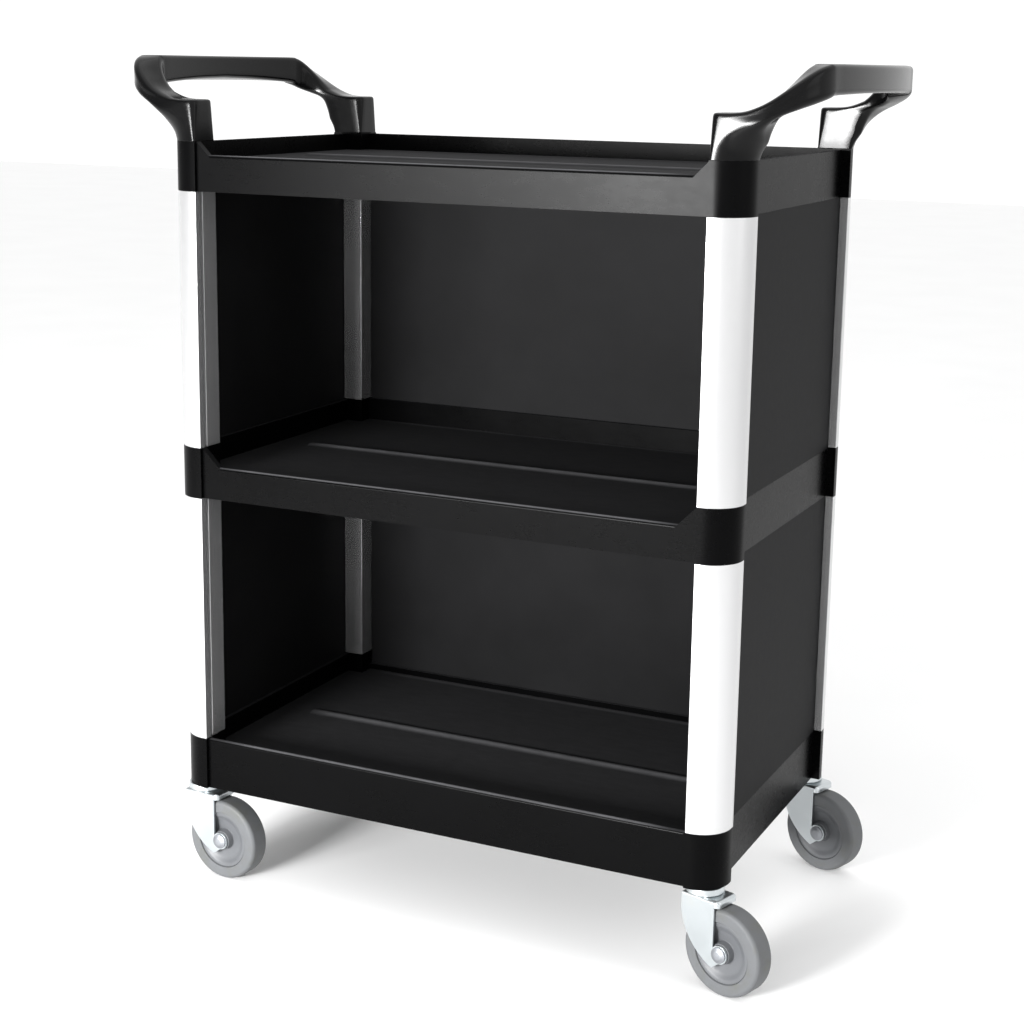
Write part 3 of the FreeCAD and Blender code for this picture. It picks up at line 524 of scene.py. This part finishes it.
def rounded_ring(radii, sizes, fine=6, sides=3):
    """A rounded unit square as (across, up) pairs: the four corner radii go
    with sizes (across, up) and start at the top outer corner."""
    across, up = sizes
    corners = ((0, 1, 90), (0, 0, 180), (1, 0, 270), (1, 1, 0))
    ring = []
    for (cu, cv, start), r in zip(corners, radii):
        ru, rv = r / across, r / up
        if r <= FULL_ROUND:
            ru, rv = min(ru, 0.48), min(rv, 0.48)
        centre = (cu + (ru if cu == 0 else -ru), cv + (rv if cv == 0 else -rv))
        for k in range(fine + 1):
            turn = math.radians(start + 90 * k / fine)
            ring.append((centre[0] + ru * math.cos(turn), centre[1] + rv * math.sin(turn)))
    full = []
    for i, a in enumerate(ring):
        full.append(a)
        b = ring[(i + 1) % len(ring)]
        if (i + 1) % (fine + 1) == 0:
            for k in range(1, sides + 1):
                t = k / (sides + 1)
                full.append((a[0] + (b[0] - a[0]) * t, a[1] + (b[1] - a[1]) * t))
    return full


def handle_shell(forms, low, high, sx):
    """One moulded handle: two legs, swept arms and a bowed grip."""
    mm = 0.001
    inner_face = min(abs(low.x), abs(high.x)) / mm
    tip = max(abs(low.x), abs(high.x)) / mm
    half, base = high.y / mm, low.z / mm
    bow = forms.grip_bow / mm
    end = tip - bow
    straight = end - GRIP_CORNER - inner_face
    arc = GRIP_CORNER * math.pi / 2
    outer_reach = half - GRIP_CORNER
    inner_reach = half - LEG_SIDE - GAP_CORNER
    grip_end = straight + arc + outer_reach
    arm_round, grip_round = forms.arm_round / mm, forms.grip_round / mm

    def along_grip(s):
        return min(1.0, (s - straight - arc) / outer_reach)

    def outer(s):
        if s <= straight:
            return inner_face + s, -half
        a = min(1.0, (s - straight) / arc) * math.pi / 2
        x = end - GRIP_CORNER + GRIP_CORNER * math.sin(a)
        y = -half + GRIP_CORNER - GRIP_CORNER * math.cos(a)
        if s > straight + arc:
            y += along_grip(s) * outer_reach
            x += bow * (1 - (y / outer_reach) ** 2)
        return x, y

    def inner(s):
        lead = (end - GRIP_DEEP - GAP_CORNER) - (end - GRIP_CORNER)
        run = lead + GAP_CORNER * math.pi / 2
        if s <= straight:
            return inner_face + s, -half + LEG_SIDE
        way = min(1.0, (s - straight) / arc) * run
        if way <= lead:
            return inner_face + straight + way, -half + LEG_SIDE
        a = (way - lead) / GAP_CORNER
        x = end - GRIP_DEEP - GAP_CORNER + GAP_CORNER * math.sin(a)
        y = -half + LEG_SIDE + GAP_CORNER - GAP_CORNER * math.cos(a)
        if s > straight + arc:
            y += along_grip(s) * inner_reach
            x += bow * (1 - (y / inner_reach) ** 2)
        return x, y

    rows = []
    for row in ARM:
        row = list(row)
        if row[0] >= GRIP_FROM:
            share = (row[0] - GRIP_FROM) / (ARM[-1][0] - GRIP_FROM)
            for i in (0, 2, 4):
                row[i] = (GRIP_FROM + (row[i] - GRIP_FROM) * (1 - share)
                          + share * (grip_end - GRIP_FROM))
        rows.append(row)
    rows = between(rows, 5)
    rings = []
    for top, top_z, outer_s, outer_z, inner_s, inner_z, round_low in rows:
        share = max(0.0, min(1.0, (top - SOFT_FROM) / SOFT_OVER))
        soft = arm_round + (grip_round - arm_round) * share
        start = max(0.0, min(1.0, top_z / FOOT_RISE))
        edge = FOOT_EDGE + (soft - FOOT_EDGE) * start
        corners = [Vector((*outer(top), top_z)), Vector((*outer(outer_s), outer_z)),
                   Vector((*inner(inner_s), inner_z)), Vector((*inner(top), top_z))]
        up = (corners[0] - corners[1]).length
        across = (corners[1] - corners[2]).length
        pairs = rounded_ring((edge, max(round_low, edge), edge, edge), (across, up))
        rings.append([corners[1].lerp(corners[2], u).lerp(corners[0].lerp(corners[3], u), v)
                      for u, v in pairs])
    mirrored = [[Vector((p.x, -p.y, p.z)) for p in ring] for ring in reversed(rings[:-1])]
    bm = bmesh.new()
    skin = []
    for ring in rings + mirrored:
        skin.append([bm.verts.new((p.x * mm * sx, p.y * mm, (base + p.z) * mm))
                     for p in ring])
    for a, b in zip(skin, skin[1:]):
        for i in range(len(a)):
            j = (i + 1) % len(a)
            bm.faces.new((a[i], a[j], b[j], b[i]))
    bm.faces.new(skin[0])
    bm.faces.new(skin[-1])
    return bm


# ------------------------------------------------------------------ operators

class TROLLEY_OT_posts(bpy.types.Operator):
    """Finish the eight corner posts in satin aluminium"""
    bl_idname = "trolley.posts"
    bl_label = "Corner posts"

    def execute(self, context):
        mat = satin_aluminium(context.scene.trolley_finishes)
        for obj in named("post_"):
            dress(obj, mat)
            crisp(obj, context.scene.trolley_forms.post_ease, 40.0, 2)
        return {"FINISHED"}


class TROLLEY_OT_shelves(bpy.types.Operator):
    """Finish the three moulded shelves"""
    bl_idname = "trolley.shelves"
    bl_label = "Shelves"

    def execute(self, context):
        finishes = context.scene.trolley_finishes
        # The deck colour is scuffing plus a painted sheen on the upward faces; painted highlight
        # lines lie along the ridges and lip.
        mat = moulded_black("moulded shelf plastic", finishes.shelf_colour,
                            finishes.shelf_roughness, scuff_and_sheen=finishes.deck_scuff_and_sheen_colour)
        for obj in named("shelf_"):
            dress(obj, mat)
            crisp(obj, context.scene.trolley_forms.edge_ease, 30.0, 3)
        return {"FINISHED"}


class TROLLEY_OT_panels(bpy.types.Operator):
    """Finish the six infill panels"""
    bl_idname = "trolley.panels"
    bl_label = "Infill panels"

    def execute(self, context):
        finishes = context.scene.trolley_finishes
        mat = moulded_black("panel sheet", finishes.panel_colour, 0.55, grain=2200.0,
                            level=0.05)
        for obj in named("panel_"):
            dress(obj, mat)
            crisp(obj, 0.0004, 40.0, 2)
        return {"FINISHED"}


class TROLLEY_OT_handles(bpy.types.Operator):
    """Mould the two end handles"""
    bl_idname = "trolley.handles"
    bl_label = "End handles"

    def execute(self, context):
        finishes = context.scene.trolley_finishes
        mat = moulded_black("handle plastic", finishes.handle_colour,
                            finishes.handle_roughness, grain=1700.0, depth=0.00001,
                            level=0.145)
        for side, sx in (("right", 1.0), ("left", -1.0)):
            low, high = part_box("handle_" + side)
            piece = mesh_object("handle_%s_shell" % side,
                                handle_shell(context.scene.trolley_forms, low, high, sx),
                                mat, frame_body("handle_" + side))
            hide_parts("handle_" + side)
        return {"FINISHED"}


class TROLLEY_OT_screws(bpy.types.Operator):
    """Finish the handle screws"""
    bl_idname = "trolley.screws"
    bl_label = "Handle screws"

    def execute(self, context):
        mat = plain_steel("blackened steel", (0.10, 0.10, 0.105), 0.35, 0.5)
        for obj in named("screws_"):
            dress(obj, mat)
            crisp(obj, 0.0002, 40.0, 2)
        return {"FINISHED"}


class TROLLEY_OT_casters(bpy.types.Operator):
    """Finish the swivel casters' metal pieces"""
    bl_idname = "trolley.casters"
    bl_label = "Casters"

    def execute(self, context):
        zinc = plated_zinc(context.scene.trolley_finishes)
        steel = plain_steel("bright steel", (0.62, 0.63, 0.64), 0.22, 0.36)
        dull = plain_steel("dull zinc", (0.30, 0.31, 0.33), 0.50, 0.62)
        for corner in CORNERS:
            for piece, mat, ease in (("fork", zinc, 0.0012), ("stem", zinc, 0.0007),
                                     ("race", steel, 0.0003), ("bolt", dull, 0.0009),
                                     ("nut", dull, 0.0004), ("sleeve", steel, 0.0)):
                obj = NODES["caster_%s_%s" % (corner, piece)]
                dress(obj, mat)
                crisp(obj, ease, 35.0, 3)
        return {"FINISHED"}


class TROLLEY_OT_wheels(bpy.types.Operator):
    """Finish the wheels: rubber tyres on grey hubs"""
    bl_idname = "trolley.wheels"
    bl_label = "Wheels"

    def execute(self, context):
        finishes = context.scene.trolley_finishes
        rubber, nylon = grey_rubber(finishes), grey_nylon(finishes)
        for corner in CORNERS:
            for piece, mat in (("tyre", rubber), ("hub", nylon)):
                obj = NODES["caster_%s_%s" % (corner, piece)]
                dress(obj, mat)
                crisp(obj, 0.0005, 35.0, 3)
        return {"FINISHED"}


class TROLLEY_OT_stage(bpy.types.Operator):
    """Set the camera, the pale floor and the studio light"""
    bl_idname = "trolley.stage"
    bl_label = "Stage"

    def execute(self, context):
        stage = context.scene.trolley_stage
        self.set_camera(stage)
        self.lay_floor()
        self.light_world(stage)
        self.hang_lights(stage)
        context.scene.view_settings.view_transform = "Standard"
        return {"FINISHED"}

    def set_camera(self, stage):
        data = bpy.data.cameras.new("studio camera")
        data.sensor_width = 36.0
        data.lens = stage.lens
        data.shift_y = CAMERA_SHIFT
        data.clip_start, data.clip_end = 0.05, 50.0
        cam = bpy.data.objects.new("studio camera", data)
        bpy.context.scene.collection.objects.link(cam)
        yaw, pitch, roll = (math.radians(angle) for angle in CAMERA_TURN)
        look = Vector((-math.sin(yaw) * math.cos(pitch), math.cos(yaw) * math.cos(pitch),
                       -math.sin(pitch)))
        right = Vector((math.cos(yaw), math.sin(yaw), 0.0))
        up = right.cross(look)
        right, up = (math.cos(roll) * right + math.sin(roll) * up,
                     -math.sin(roll) * right + math.cos(roll) * up)
        turn = Matrix((right, up, -look)).transposed().to_4x4()
        turn.translation = Vector(CAMERA_STAND)
        cam.matrix_world = turn
        bpy.context.scene.camera = cam

    def lay_floor(self):
        mat, tree, shader = new_material("studio floor")
        soft = noise(tree, place_in(tree, (1, 1, 1)), 3.0, 2.0)
        tree.links.new(ramp(tree, soft, [(0.3, 0.94), (0.7, 0.96)]),
                       shader.inputs["Base Color"])
        shader.inputs["Roughness"].default_value = 0.6
        bm = bmesh.new()
        bmesh.ops.create_grid(bm, x_segments=2, y_segments=2, size=FLOOR_HALF)
        mesh = bpy.data.meshes.new("floor")
        bm.to_mesh(mesh)
        bm.free()
        floor = bpy.data.objects.new("floor", mesh)
        floor.data.materials.append(mat)
        bpy.context.scene.collection.objects.link(floor)

    def light_world(self, stage):
        """An even white studio, dimmed towards the card but not in the view."""
        world = bpy.data.worlds.new("studio")
        world.use_nodes = True
        tree = world.node_tree
        back = tree.nodes["Background"]
        back.inputs["Color"].default_value = (1.0, 1.0, 1.0, 1.0)
        coords = tree.nodes.new("ShaderNodeTexCoord")
        toward = tree.nodes.new("ShaderNodeVectorMath")
        toward.operation = "DOT_PRODUCT"
        toward.inputs[1].default_value = CARD_SIDE
        tree.links.new(coords.outputs["Generated"], toward.inputs[0])
        card = fade(tree, toward.outputs["Value"], *CARD_EDGE, stage.card)
        seen = tree.nodes.new("ShaderNodeLightPath").outputs["Is Camera Ray"]
        dim = math_node(tree, "MULTIPLY", card, math_node(tree, "SUBTRACT", 1.0, seen))
        bright = math_node(tree, "SUBTRACT", 1.0, dim)
        tree.links.new(math_node(tree, "MULTIPLY", bright, stage.backdrop),
                       back.inputs["Strength"])
        bpy.context.scene.world = world

    def hang_lights(self, stage):
        for name, setting, place, aim, width, height in SOFTBOXES:
            data = bpy.data.lights.new(name, "AREA")
            data.shape = "RECTANGLE"
            data.size, data.size_y = width, height
            data.energy = getattr(stage, setting)
            lamp = bpy.data.objects.new(name, data)
            lamp.location = place
            way = Vector(aim) - Vector(place)
            lamp.rotation_euler = way.to_track_quat("-Z", "Y").to_euler()
            bpy.context.scene.collection.objects.link(lamp)


class TROLLEY_PT_panel(bpy.types.Panel):
    """Lists the trolley's pieces and their settings"""
    bl_idname = "TROLLEY_PT_panel"
    bl_label = "Service Trolley"
    bl_space_type = "VIEW_3D"
    bl_region_type = "UI"
    bl_category = "Trolley"

    def draw(self, context):
        column = self.layout.column(align=True)
        for step in STEPS:
            column.operator(step.bl_idname)
        for group in (context.scene.trolley_finishes, context.scene.trolley_forms,
                      context.scene.trolley_stage):
            box = self.layout.box()
            for name in group.__annotations__:
                box.prop(group, name)


STEPS = (TROLLEY_OT_posts, TROLLEY_OT_shelves, TROLLEY_OT_panels, TROLLEY_OT_handles,
         TROLLEY_OT_screws, TROLLEY_OT_casters, TROLLEY_OT_wheels, TROLLEY_OT_stage)
CLASSES = (TrolleyFinishes, TrolleyForms, TrolleyStage, *STEPS, TROLLEY_PT_panel)


def register():
    for cls in CLASSES:
        bpy.utils.register_class(cls)
    bpy.types.Scene.trolley_finishes = bpy.props.PointerProperty(type=TrolleyFinishes)
    bpy.types.Scene.trolley_forms = bpy.props.PointerProperty(type=TrolleyForms)
    bpy.types.Scene.trolley_stage = bpy.props.PointerProperty(type=TrolleyStage)


def unregister():
    del bpy.types.Scene.trolley_stage
    del bpy.types.Scene.trolley_forms
    del bpy.types.Scene.trolley_finishes
    for cls in reversed(CLASSES):
        bpy.utils.unregister_class(cls)


def main():
    register()
    bpy.ops.trolley.posts()
    bpy.ops.trolley.shelves()
    bpy.ops.trolley.panels()
    bpy.ops.trolley.handles()
    bpy.ops.trolley.screws()
    bpy.ops.trolley.casters()
    bpy.ops.trolley.wheels()
    bpy.ops.trolley.stage()
    bpy.context.view_layer.update()


if __name__ == "__main__":
    main()
